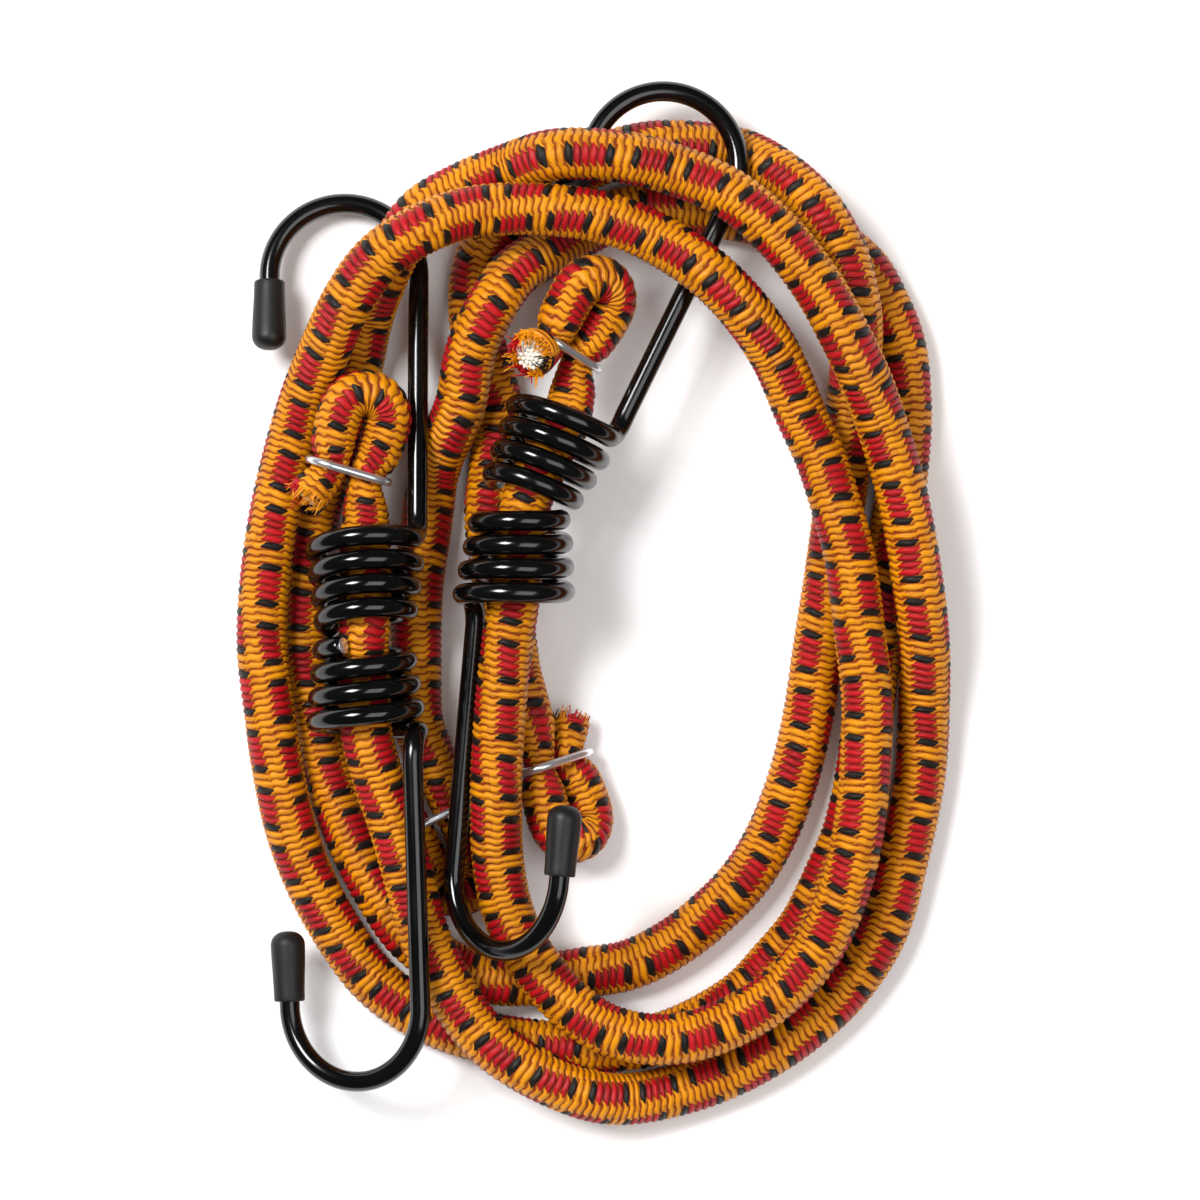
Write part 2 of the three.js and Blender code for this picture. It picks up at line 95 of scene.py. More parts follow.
CORD_2_ROUTE: tuple[Triple, ...] = (
    (-3.4, 31.3, 13.9), (-4.4, 27.7, 15.2), (-7, 22.7, 16), (-9.7, 17, 17),
    (-10.8, 13.3, 17.4), (-11.4, 7.9, 17.3), (-12.1, 0.7, 16.9), (-13, -5.4, 16.3),
    (-13.9, -12.9, 15.8), (-14.5, -20.5, 15.3), (-14.8, -25.9, 15), (-14.8, -31.3, 14),
    (-14.7, -36.8, 12.6), (-13.6, -44.3, 11.5), (-12, -49.2, 11.5), (-9.4, -53.7, 11.7),
    (-5.2, -59, 11.8), (0.9, -63.7, 11.8), (7.7, -65.6, 11.8), (14.9, -65.2, 11.8),
    (23.2, -61.8, 11.8), (29.1, -57.5, 11.8), (34.4, -50.8, 11.8), (38.6, -40.3, 11.8),
    (40.3, -31.3, 11.8), (41, -22.9, 11.8), (41.2, -14.4, 11.8), (40.1, -4.6, 11.8),
    (38.6, 7, 11.8), (36.6, 14.7, 11.8), (34.1, 22.4, 10.8), (31.4, 28.3, 10.5),
    (27.3, 37.7, 13), (21.8, 45.2, 17.5), (16, 50.6, 19.6), (9.2, 55, 19),
    (2.1, 57.9, 19.1), (-5.2, 59.1, 19.3), (-13.6, 59.4, 18.8), (-20.3, 58.5, 19),
    (-26.8, 55.8, 19.8), (-32.4, 52, 19), (-36.9, 46.1, 16.8), (-40.7, 38.4, 12.6),
    (-43.8, 30.9, 9.8), (-46.3, 22.6, 9), (-48.5, 12.7, 9.6), (-49.9, 2.2, 9.3),
    (-50.2, -6.9, 9.2), (-49, -17.5, 8.7), (-48.1, -24.1, 8), (-46.1, -33.8, 6.5),
    (-43.2, -41.9, 5), (-39.2, -49.5, 3.6), (-34, -56.7, 3.2), (-28.4, -61.2, 3.2),
    (-21.3, -64.6, 3.2), (-13.5, -66.4, 3.2), (-5.2, -67.3, 3.2), (2.4, -67.3, 3.2),
    (9.2, -66.2, 3.2), (16, -63.5, 3.2), (22.9, -59.1, 3.2), (27.4, -54.3, 3.2),
    (32, -48.7, 3.2), (35.7, -41.3, 3.2), (38.5, -34.7, 3.2), (40.4, -26.5, 3.2),
    (41.6, -17.5, 3.2), (42.7, -8.4, 3.2), (44, 0.7, 3.2), (45.3, 8.2, 3.2),
    (46.5, 16.5, 3.2), (47.4, 26.2, 3.2), (47.4, 31.5, 3.2), (46.6, 39.2, 3.2),
    (44.3, 45.4, 3.2), (40.7, 51.4, 3.2), (34.8, 55.6, 3.2), (28, 57.7, 3.2),
    (22, 59, 3.2), (16, 59.9, 3.2), (9.9, 60.2, 3.2), (3.9, 59.3, 3.2),
    (-1.9, 56.7, 3.2), (-7.1, 53.5, 6.2), (-12, 50.2, 9.8), (-15.4, 45.2, 11.8),
    (-18.6, 38.4, 11.6), (-20.3, 30.1, 9.4), (-24.2, 20.9, 3.8), (-25.7, 10.8, 3.2),
    (-26.8, 3.1, 3.2), (-27.1, -2.7, 3.2), (-27.1, -10.4, 3.2), (-26.8, -18.1, 3.2),
    (-23.8, -25.3, 3.4),
)


class Yarn(IntEnum):
    """Yarns of the braid, in the order in which a tracer column repeats them."""

    BLACK_FIRST = 0
    RED_FIRST = 1
    RED_LAST = 4
    BLACK_LAST = 5
    PERIOD = 8


def srgb(red: int, green: int, blue: int) -> Colour:
    """Linear colour of an 8-bit sRGB colour."""
    linear = [((c / 255 + 0.055) / 1.055) ** 2.4 if c > 10 else c / 255 / 12.92 for c in (red, green, blue)]
    return (linear[0], linear[1], linear[2], 1.0)


def unit(rows: np.ndarray) -> np.ndarray:
    """Rows scaled to length 1."""
    return rows / np.linalg.norm(rows, axis=-1, keepdims=True)


def grey(level: float) -> Colour:
    """Linear grey of the given level."""
    return (level, level, level, 1.0)


def round_angles(count: int) -> np.ndarray:
    """Angles of evenly spread points round a full turn."""
    return np.arange(count) / count * TURN


def smooth_step(share: np.ndarray) -> np.ndarray:
    """Smooth rise from 0 to 1 while the share goes from 0 to 1."""
    return share**2 * (3 - 2 * share)


# Meshes


@dataclass
class MeshDraft:
    """Vertices, faces and map coordinates gathered for one mesh."""

    points: list[np.ndarray] = field(default_factory=list)
    faces: list[list[int]] = field(default_factory=list)
    map_points: list[np.ndarray] = field(default_factory=list)
    count: int = 0

    def add_rings(self, rings: np.ndarray, close_start: bool, close_end: bool) -> None:
        """Adds the skin of a row of rings.

        Args:
            rings: Points of n rings of m points each, shape (n, m, 3).
            close_start: Whether the first ring is closed by a fan.
            close_end: Whether the last ring is closed by a fan.
        """
        n, m, _ = rings.shape
        base = self.count
        last = base + (n - 1) * m
        self.points.append(rings.reshape(-1, 3))
        start = base + np.arange(n - 1)[:, None] * m + np.arange(m)[None, :]
        beside = base + np.arange(n - 1)[:, None] * m + (np.arange(m)[None, :] + 1) % m
        quads = np.stack([start, beside, beside + m, start + m], axis=-1).reshape(-1, 4)
        self.faces.extend(quads.tolist())
        self.count += n * m
        ends = ((close_start, rings[0], base, -1), (close_end, rings[-1], last, 1))
        for closed, ring, first, turn in ends:
            if closed:
                self.points.append(ring.mean(axis=0)[None, :])
                fan = [[first + k, first + (k + 1) % m, self.count][::turn] for k in range(m)]
                self.faces.extend(fan)
                self.count += 1

    def build(self, name: str, material: bpy.types.Material) -> bpy.types.Object:
        """Makes the mesh object with smooth shading and one material.

        Args:
            name: Name of the object and of its mesh.
            material: Material of all its faces.

        Returns:
            The new object, linked to the scene.
        """
        mesh = bpy.data.meshes.new(name)
        mesh.from_pydata(np.concatenate(self.points).tolist(), [], self.faces)
        mesh.polygons.foreach_set("use_smooth", np.ones(len(mesh.polygons), dtype=bool))
        if self.map_points:
            layer = mesh.uv_layers.new(name=UV_MAP)
            layer.data.foreach_set("uv", np.concatenate(self.map_points).astype(np.float32).ravel())
        mesh.materials.append(material)
        mesh.update()
        piece = bpy.data.objects.new(name, mesh)
        bpy.context.scene.collection.objects.link(piece)
        log.info("%s: %d faces", name, len(mesh.polygons))
        return piece


@dataclass
class Path:
    """A centreline with the radius of its tube at each point."""

    points: np.ndarray
    radii: np.ndarray

    @property
    def arc(self) -> np.ndarray:
        """Distance of each point along the line."""
        steps = np.linalg.norm(np.diff(self.points, axis=0), axis=1)
        return np.concatenate([[0.0], np.cumsum(steps)])

    @property
    def tangents(self) -> np.ndarray:
        """Direction of the line at each point."""
        return unit(np.gradient(self.points, axis=0))

    def smooth(self, per_span: int) -> "Path":
        """Centripetal Catmull-Rom curve through the points.

        Args:
            per_span: Number of steps between two points.

        Returns:
            The curve as a finer path, its radii eased between the points.
        """
        before = 2 * self.points[0] - self.points[1]
        after = 2 * self.points[-1] - self.points[-2]
        p = np.vstack([before, self.points, after])
        knots = np.concatenate([[0.0], np.cumsum(np.linalg.norm(np.diff(p, axis=0), axis=1) ** 0.5)])
        share = np.arange(per_span)[:, None] / per_span
        ease = smooth_step(share[:, 0])
        points, radii = [], []
        for i in range(len(self.points) - 1):
            t0, t1, t2, t3 = knots[i : i + 4]
            t = t1 + (t2 - t1) * share
            a1 = (t1 - t) / (t1 - t0) * p[i] + (t - t0) / (t1 - t0) * p[i + 1]
            a2 = (t2 - t) / (t2 - t1) * p[i + 1] + (t - t1) / (t2 - t1) * p[i + 2]
            a3 = (t3 - t) / (t3 - t2) * p[i + 2] + (t - t2) / (t3 - t2) * p[i + 3]
            b1 = (t2 - t) / (t2 - t0) * a1 + (t - t0) / (t2 - t0) * a2
            b2 = (t3 - t) / (t3 - t1) * a2 + (t - t1) / (t3 - t1) * a3
            points.append((t2 - t) / (t2 - t1) * b1 + (t - t1) / (t2 - t1) * b2)
            radii.append(self.radii[i] + (self.radii[i + 1] - self.radii[i]) * ease)
        points.append(self.points[-1:])
        radii.append(self.radii[-1:])
        return Path(np.concatenate(points), np.concatenate(radii))

    def even(self, step: float) -> "Path":
        """The same line in even steps.

        Args:
            step: About the length of a step, in metres.

        Returns:
            The line as a new path.
        """
        arc = self.arc
        at = np.linspace(0.0, arc[-1], max(2, round(arc[-1] / step) + 1))
        points = np.stack([np.interp(at, arc, self.points[:, k]) for k in range(3)], axis=1)
        return Path(points, np.interp(at, arc, self.radii))

    def level_frames(self) -> tuple[np.ndarray, np.ndarray]:
        """Level direction to the left of the line and the direction above it."""
        tangents = self.tangents
        left = unit(np.cross(UP, tangents))
        return left, np.cross(tangents, left)

    def level_spokes(self, angles: np.ndarray) -> np.ndarray:
        """Unit directions out of the line, square to it.

        Args:
            angles: Angles round the line, from straight below it round by the left.

        Returns:
            Directions at each point and angle, shape (points, angles, 3).
        """
        left, above = self.level_frames()
        return np.sin(angles)[:, None] * left[:, None, :] - np.cos(angles)[:, None] * above[:, None, :]

    def carried_rings(self, sides: int) -> np.ndarray:
        """Rings of points whose frame is carried along the line without twist.

        Args:
            sides: Number of points in each ring.

        Returns:
            Points of shape (points, sides, 3).
        """
        tangents = self.tangents
        normal = UP if abs(tangents[0, 2]) < STEEP else SIDEWAYS
        angles = round_angles(sides)
        rings = []
        for point, radius, tangent in zip(self.points, self.radii, tangents):
            normal = unit(normal - normal.dot(tangent) * tangent)
            across = np.cross(normal, tangent)
            ring = np.sin(angles)[:, None] * across - np.cos(angles)[:, None] * normal
            rings.append(point + radius * ring)
        return np.stack(rings)


# Materials


@dataclass
class NodeSheet:
    """A node tree with short calls for adding nodes and links."""

    tree: bpy.types.NodeTree

    def add(self, kind: str, *values: object, **settings: object) -> bpy.types.Node:
        """Adds a node.

        Args:
            kind: Blender's name for the kind of node.
            *values: Sockets or plain values for its inputs, in order.
            **settings: Properties of the node.

        Returns:
            The new node.
        """
        node = self.tree.nodes.new(kind)
        for key, value in settings.items():
            setattr(node, key, value)
        return self.fill(node, dict(enumerate(values)))

    def fill(self, node: bpy.types.Node, values: dict[int | str, object]) -> bpy.types.Node:
        """Gives inputs of a node their values.

        Args:
            node: The node.
            values: Sockets to link or plain values, by the number or name of the input.

        Returns:
            The same node.
        """
        for key, value in values.items():
            if isinstance(value, Socket):
                self.tree.links.new(value, node.inputs[key])
            else:
                node.inputs[key].default_value = value
        return node

    def math(self, operation: str, *values: object) -> Socket:
        """Result of a Math node."""
        return self.add("ShaderNodeMath", *values, operation=operation).outputs[0]

    def between(self, value: object, low: float, high: float) -> Socket:
        """Mask that is 1 where the value lies between low and high."""
        above = self.math("GREATER_THAN", value, low)
        return self.math("MULTIPLY", above, self.math("LESS_THAN", value, high))

    def ramp(self, value: object, span: Span, results: Span) -> Socket:
        """Smooth change from the first result to the second while the value goes through the span."""
        node = self.add("ShaderNodeMapRange", value, *span, *results, interpolation_type="SMOOTHSTEP")
        return node.outputs[0]

    def choose(self, mask: object, off: object, on: object) -> Socket:
        """One of two numbers: on where the mask is 1, off where it is 0."""
        node = self.add("ShaderNodeMix", data_type="FLOAT")
        return self.fill(node, {0: mask, 2: off, 3: on}).outputs[0]

    def mix(self, share: object, first: object, second: object, blend: str = "MIX") -> Socket:
        """Blend of two colours, with the given share of the second."""
        node = self.add("ShaderNodeMix", data_type="RGBA", blend_type=blend)
        return self.fill(node, {0: share, 6: first, 7: second}).outputs[2]

    def noise(self, vector: object, scale: object, detail: float) -> Socket:
        """Value of a noise texture."""
        node = self.add("ShaderNodeTexNoise")
        return self.fill(node, {"Vector": vector, "Scale": scale, "Detail": detail}).outputs[0]

    def bump(self, strength: float, depth: float, height: object) -> Socket:
        """Normal of a surface bumped by a height, a height of 1 being as deep as given, in metres."""
        node = self.add("ShaderNodeBump")
        return self.fill(node, {"Strength": strength, "Distance": depth, "Height": height}).outputs[0]


def new_group(name: str, inputs: tuple[str, ...], outputs: tuple[str, ...]) -> NodeSheet:
    """Starts a node group that takes and gives numbers.

    Args:
        name: Name of the group.
        inputs: Names of its inputs.
        outputs: Names of its outputs.

    Returns:
        Sheet of the new group.
    """
    tree = bpy.data.node_groups.new(name, "ShaderNodeTree")
    for label in inputs:
        tree.interface.new_socket(label, in_out="INPUT", socket_type="NodeSocketFloat")
    for label in outputs:
        tree.interface.new_socket(label, in_out="OUTPUT", socket_type="NodeSocketFloat")
    return NodeSheet(tree)


def new_material(name: str) -> tuple[bpy.types.Material, NodeSheet, bpy.types.Node]:
    """Starts a material.

    Args:
        name: Name of the material.

    Returns:
        The material, the sheet of its nodes and its Principled node.
    """
    material = bpy.data.materials.new(name)
    material.use_nodes = True
    tree = material.node_tree
    return material, NodeSheet(tree), tree.nodes["Principled BSDF"]


@dataclass(frozen=True)
class Stitch:
    """Shape of the stitches in one column: a lens across the column, slanted, with its ends curled back."""

    slant: float
    curl: float
    half: float
    point: float
    taper: float

    def height(self, place: np.ndarray, stitch: np.ndarray) -> np.ndarray:
        """Height from 0 in the grooves to 1 on the crowns.

        Args:
            place: Place across the column, counted in columns from its middle.
            stitch: Place along the cord, counted in stitches.

        Returns:
            The height at each place.
        """
        tip = np.abs(place / self.half)
        lens = np.maximum(1 - tip**self.point, THINNEST_LENS)
        phase = stitch + place * (self.slant - self.curl * place**2)
        along = np.abs(2 * (phase - np.floor(phase)) - 1) / lens
        return np.maximum(1 - along**2, 0.0) * np.maximum(1 - self.taper * tip**TAPER_POWER, 0.0)

    def nodes(self, sheet: NodeSheet, place: object, stitch: object) -> tuple[object, object]:
        """The same height as nodes.

        Args:
            sheet: Sheet that takes the nodes.
            place: Socket of the place across the column.
            stitch: Socket of the place along the cord.

        Returns:
            Sockets of the height and of the running number of the stitch.
        """
        tip = sheet.math("DIVIDE", sheet.math("ABSOLUTE", place), self.half)
        lens = sheet.math("SUBTRACT", 1.0, sheet.math("POWER", tip, self.point))
        lens = sheet.math("MAXIMUM", lens, THINNEST_LENS)
        slope = sheet.math("MULTIPLY_ADD", sheet.math("MULTIPLY", place, place), -self.curl, self.slant)
        phase = sheet.math("MULTIPLY_ADD", place, slope, stitch)
        middle = sheet.math("ABSOLUTE", sheet.math("MULTIPLY_ADD", sheet.math("FRACT", phase), 2.0, -1.0))
        along = sheet.math("DIVIDE", middle, lens)
        crown = sheet.math("SUBTRACT", 1.0, sheet.math("MULTIPLY", along, along))
        crown = sheet.math("MAXIMUM", crown, 0.0)
        taper = sheet.math("MULTIPLY_ADD", sheet.math("POWER", tip, TAPER_POWER), -self.taper, 1.0)
        return sheet.math("MAXIMUM", sheet.math("MULTIPLY", crown, taper), 0.0), phase


@dataclass(frozen=True)
class Weave:
    """Layout of the braid: tracer and ground columns by turns round the cord, stitches along each column."""

    columns: int = 8
    pitch: float = 1.1 * MM
    tracer: Stitch = Stitch(slant=0.32, curl=1.1, half=0.76, point=2.5, taper=0.2)
    ground: Stitch = Stitch(slant=0.6, curl=4.4, half=0.64, point=3.6, taper=0.7)
    relief: float = 0.3 * MM
    turn_length: float = 420 * MM
    fibres_across: float = 2.0
    fibres_along: float = 8.0
    fibre_detail: float = 3.0
    tracer_fibre_shift: float = 7.0
    tracer_number_shift: float = 40.0
    stitch_tone: float = 0.3

    def height(self, column: np.ndarray, stitch: np.ndarray) -> np.ndarray:
        """Height of the yarn from 0 in the grooves to 1 on the crowns.

        Args:
            column: Place round the cord, counted in columns.
            stitch: Place along the cord, counted in stitches.

        Returns:
            The height at each place.
        """
        place = (column + 0.5) % 2 - 1
        beside = place - np.sign(place)
        return np.maximum(self.tracer.height(place, stitch), self.ground.height(beside, stitch))

    def group(self) -> bpy.types.NodeTree:
        """Node group that tells the yarn at a place of the braid and its height.

        Returns:
            The group, made once.
        """
        name = "braid_weave"
        if name in bpy.data.node_groups:
            return bpy.data.node_groups[name]
        sheet = new_group(name, ("Column", "Stitch"), ("Red", "Black", "Height", "Fibre"))
        given = sheet.add("NodeGroupInput").outputs
        column, stitch = given["Column"], given["Stitch"]
        across = sheet.math("FLOORED_MODULO", sheet.math("ADD", column, 0.5), 2.0)
        place = sheet.math("SUBTRACT", across, 1.0)
        number = sheet.math("SUBTRACT", column, place)
        tracer_height, phase = self.tracer.nodes(sheet, place, stitch)
        beside = sheet.math("SUBTRACT", place, sheet.math("SIGN", place))
        ground_height, ground_phase = self.ground.nodes(sheet, beside, stitch)
        tracer = sheet.math("GREATER_THAN", tracer_height, ground_height)
        yarn = sheet.choose(tracer, ground_phase, phase)
        red, black = self.tracer_masks(sheet, number, phase)
        results = {
            "Red": sheet.math("MULTIPLY", red, tracer),
            "Black": sheet.math("MULTIPLY", black, tracer),
            "Height": sheet.math("MAXIMUM", tracer_height, ground_height),
            "Fibre": self.fibre(sheet, column, number, yarn, tracer),
        }
        sheet.fill(sheet.add("NodeGroupOutput"), results)
        return sheet.tree

    def tracer_masks(self, sheet: NodeSheet, number: object, phase: object) -> tuple[object, object]:
        """Masks of the dyed stitches in the tracer columns.

        Args:
            sheet: Sheet that takes the nodes.
            number: Socket of the number of the column.
            phase: Socket of the running number of the stitch.

        Returns:
            Sockets of the red mask and of the black mask.
        """
        count = sheet.math("ADD", sheet.math("FLOOR", phase), sheet.math("SUBTRACT", number, 0.5))
        turn = sheet.math("FLOORED_MODULO", sheet.math("ROUND", count), float(Yarn.PERIOD))
        red = sheet.between(turn, Yarn.RED_FIRST - 0.5, Yarn.RED_LAST + 0.5)
        first = sheet.math("LESS_THAN", turn, Yarn.BLACK_FIRST + 0.5)
        last = sheet.between(turn, Yarn.BLACK_LAST - 0.5, Yarn.BLACK_LAST + 0.5)
        return red, sheet.math("MAXIMUM", first, last)

    def fibre(self, sheet: NodeSheet, column: object, number: object, yarn: object, tracer: object) -> object:
        """Streaks of the fibres, with a tone for each stitch.

        Args:
            sheet: Sheet that takes the nodes.
            column: Socket of the place round the cord.
            number: Socket of the number of the column.
            yarn: Socket of the running number of the stitch.
            tracer: Socket of the mask of the tracer columns.

        Returns:
            Socket of the brightness, about 0.5 in the middle.
        """
        spot = sheet.add(
            "ShaderNodeCombineXYZ",
            sheet.math("MULTIPLY", column, self.fibres_across),
            sheet.math("MULTIPLY", yarn, self.fibres_along),
            sheet.math("MULTIPLY", tracer, self.tracer_fibre_shift),
        ).outputs[0]
        shifted = sheet.math("ADD", number, sheet.math("MULTIPLY", tracer, self.tracer_number_shift))
        chosen = sheet.add("ShaderNodeCombineXYZ", shifted, sheet.math("FLOOR", yarn)).outputs[0]
        single = sheet.add("ShaderNodeTexWhiteNoise", chosen, noise_dimensions="2D")
        tone = sheet.math("SUBTRACT", single.outputs["Value"], 0.5)
        return sheet.math("MULTIPLY_ADD", tone, self.stitch_tone, sheet.noise(spot, 1.0, self.fibre_detail))


def fine_grain_group() -> bpy.types.NodeTree:
    """Node group of fine grain and of broad cloudy change, both about the middle value 0.5.

    Returns:
        The group, made once.
    """
    name = "fine_grain"
    if name in bpy.data.node_groups:
        return bpy.data.node_groups[name]
    sheet = new_group(name, ("Scale",), ("Grain", "Cloud"))
    scale = sheet.add("NodeGroupInput").outputs["Scale"]
    place = sheet.add("ShaderNodeTexCoord").outputs["Object"]
    broad = sheet.math("MULTIPLY", scale, CLOUD_SCALE)
    results = {
        "Grain": sheet.noise(place, scale, GRAIN_DETAIL),
        "Cloud": sheet.noise(place, broad, CLOUD_DETAIL),
    }
    sheet.fill(sheet.add("NodeGroupOutput"), results)
    return sheet.tree


@dataclass(frozen=True)
class Finish:
    """A plain finish whose roughness, tint and surface vary a little."""

    name: str
    colour: Colour
    tint: Colour
    roughness: Span
    metallic: float = 0.0
    coat: float = 0.0
    coat_roughness: float = 0.08
    specular: float = 0.5
    grain_scale: float = 900.0
    bump: float = 0.05
    bump_depth: float = 0.1 * MM

    def material(self) -> bpy.types.Material:
        """The finish as a material.

        Returns:
            The material, made once.
        """
        if self.name in bpy.data.materials:
            return bpy.data.materials[self.name]
        material, sheet, shader = new_material(self.name)
        grain = sheet.add("ShaderNodeGroup", self.grain_scale, node_tree=fine_grain_group())
        cloud = grain.outputs["Cloud"]
        looks = {
            "Base Color": sheet.mix(cloud, self.colour, self.tint),
            "Roughness": sheet.ramp(cloud, CLOUD_RANGE, self.roughness),
            "Metallic": self.metallic,
            "Coat Weight": self.coat,
            "Coat Roughness": self.coat_roughness,
            "Specular IOR Level": self.specular,
            "Normal": sheet.bump(self.bump, self.bump_depth, grain.outputs["Grain"]),
        }
        sheet.fill(shader, looks)
        return material


@dataclass(frozen=True)
class BraidFinish:
    """Dyed yarn of the braided sheath, coloured stitch by stitch. Each dye runs from a painted shade in the
    grooves to a painted highlight on the crowns.
    """

    name: str
    weave: Weave
    # Each dye pair: painted shade colour for the grooves, then painted highlight colour for the crowns.
    yellow: tuple[Colour, Colour]
    red: tuple[Colour, Colour]
    black: tuple[Colour, Colour]
    # Stitch heights over which the colour goes from the painted shade to the painted highlight.
    painted_light_heights: Span = (0.05, 0.85)
    fibre_range: Span = (0.25, 0.75)
    streak: Span = (-0.42, 0.42)
    wear: Span = (0.9, 1.04)
    smooth_heights: Span = (0.2, 0.9)
    roughness: Span = (0.75, 0.4)
    specular: float = 0.3
    grain_scale: float = 500.0
    fibre_bump: float = 0.7
    bump: float = 0.8

    def material(self) -> bpy.types.Material:
        """The finish as a material.

        Returns:
            The material, made once.
        """
        if self.name in bpy.data.materials:
            return bpy.data.materials[self.name]
        material, sheet, shader = new_material(self.name)
        place = sheet.add("ShaderNodeSeparateXYZ", sheet.add("ShaderNodeUVMap", uv_map=UV_MAP).outputs[0])
        weave = sheet.add("ShaderNodeGroup", *place.outputs[:2], node_tree=self.weave.group())
        height, fibre = weave.outputs["Height"], weave.outputs["Fibre"]
        grain = sheet.add("ShaderNodeGroup", self.grain_scale, node_tree=fine_grain_group())
        # Painted light: share of the painted highlight by stitch height, with random fibre streaks added; the
        # grooves get painted shade.
        painted_light = sheet.ramp(height, self.painted_light_heights, (0.0, 1.0))
        painted_light = sheet.math("ADD", painted_light, sheet.ramp(fibre, self.fibre_range, self.streak))
        dye_and_painted_light = sheet.mix(weave.outputs["Red"], sheet.mix(painted_light, *self.yellow), sheet.mix(painted_light, *self.red))
        dye_and_painted_light = sheet.mix(weave.outputs["Black"], dye_and_painted_light, sheet.mix(painted_light, *self.black))
        wear = sheet.ramp(grain.outputs["Cloud"], CLOUD_RANGE, self.wear)
        worn = sheet.add("ShaderNodeCombineColor", wear, wear, wear).outputs[0]
        relief = sheet.math("MULTIPLY_ADD", fibre, self.fibre_bump, height)
        looks = {
            "Base Color": sheet.mix(1.0, dye_and_painted_light, worn, "MULTIPLY"),
            "Roughness": sheet.ramp(height, self.smooth_heights, self.roughness),
            "Specular IOR Level": self.specular,
            "Normal": sheet.bump(self.bump, self.weave.relief, relief),
        }
        sheet.fill(shader, looks)
        return material


# Cords


@dataclass(frozen=True)
class Fold:
    """A cord end that turns back on itself, with both legs pinched by a ring. Millimetres."""

    ring: Triple
    along: Triple
    side: Triple
    radius: float = 3.62
    leg_offset: float = 3.75
    reach: float = 8.3
    shoulder_ratio: float = 0.96
    shoulder_reach_ratio: float = 0.45
    pinch_radius: float = 2.45
    pinch_offset: float = 2.75
    tail_radius: float = 3.3
    tail_offset: float = 5.0
    tail_length: float = 5.2
    tail_lift: float = 0.0
    steps: int = 7

    @property
    def axes(self) -> tuple[np.ndarray, np.ndarray]:
        """Unit direction towards the loop and unit direction towards the standing leg."""
        along = unit(np.array(self.along))
        side = np.array(self.side)
        return along, unit(side - side.dot(along) * along)

    def path(self) -> Path:
        """Centreline from the pinched standing leg round the loop to the cut end.

        Returns:
            The line in metres.
        """
        angles = np.arange(self.steps + 1) / self.steps * math.pi
        loop = self.reach + self.leg_offset * np.sin(angles)
        shoulder_reach = self.reach * self.shoulder_reach_ratio
        reach = [0.0, shoulder_reach, *loop, shoulder_reach, 0.0, -self.tail_length]
        shoulder = self.leg_offset * self.shoulder_ratio
        offset = [self.pinch_offset, shoulder, *(self.leg_offset * np.cos(angles)), -shoulder]
        offset += [-self.pinch_offset, -self.tail_offset]
        slim = self.radius * self.shoulder_ratio
        radii = [self.pinch_radius, slim, *[self.radius] * len(angles), slim]
        radii += [self.pinch_radius, self.tail_radius]
        along, side = self.axes
        points = np.array(self.ring) + np.outer(reach, along) + np.outer(offset, side)
        points[-1, 2] += self.tail_lift
        return Path(points * MM, np.array(radii) * MM)


@dataclass(frozen=True)
class Stray:
    """A wave by which the weave strays from its layout, in columns or stitches."""

    size: float
    length: float
    turns: int = 0

    def at(self, arc: np.ndarray, angles: np.ndarray) -> np.ndarray:
        """How far the weave strays at places along the cord and round it."""
        return self.size * np.sin(arc / self.length + self.turns * angles)


@dataclass(frozen=True)
class Fray:
    """Loose yarn ends round one cut end of a cord."""

    count: int = 170
    length: float = 1.7 * MM
    length_ratio: Span = (0.6, 1.2)
    angle_jitter: float = 0.4
    root_ratio: Span = (0.76, 0.96)
    root_depth: float = 0.6 * MM
    bend: float = 0.28
    lean: Span = (-1.1, 0.35)
    lowest: float = 0.2 * MM
    radii: Span = (0.17 * MM, 0.08 * MM)
    points: int = 6
    sides: int = 5

    @property
    def corners(self) -> int:
        """Number of face corners of one yarn end: four-sided walls and a fan at its tip."""
        return (self.points - 1) * self.sides * 4 + self.sides * 3


